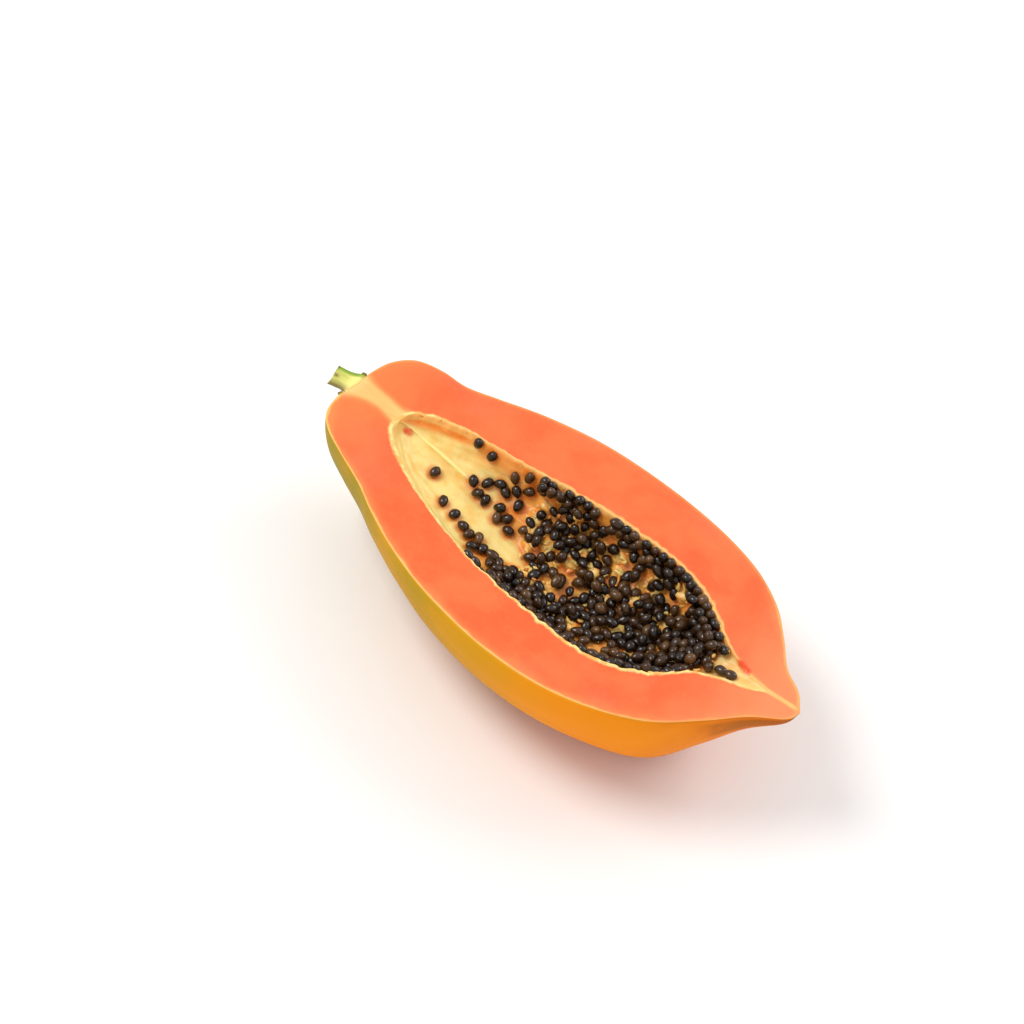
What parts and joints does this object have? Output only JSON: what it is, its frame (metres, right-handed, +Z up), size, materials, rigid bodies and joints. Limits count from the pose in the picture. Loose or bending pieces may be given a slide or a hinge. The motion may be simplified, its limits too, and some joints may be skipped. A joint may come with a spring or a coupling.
{
  "type": "halved papaya",
  "caption": "Half of a ripe papaya cut lengthwise through its stem, lying on its back with its seed cavity open and full of black seeds",
  "frame": {"origin": "centre of the small flat spot of skin on which the half lies", "axes": "+X runs along the fruit from the stem to the blossom tip, +Z is up out of the cut face, and +Y goes across the cut face"},
  "size_m": [0.2615, 0.1307, 0.0646],
  "materials": {
    "flesh": "moist cut flesh under a smooth yellow-green skin",
    "stem": "dull, fresh green stem",
    "seeds": "wet and glossy"
  },
  "bodies": {
    "root": {"fruit_half": "flesh", "stem": "stem", "seeds_far_stem": "seeds", "seeds_far_tip": "seeds", "seeds_floor_stem": "seeds", "seeds_floor_tip": "seeds", "seeds_near_stem": "seeds", "seeds_near_tip": "seeds"}
  },
  "joints": []
}
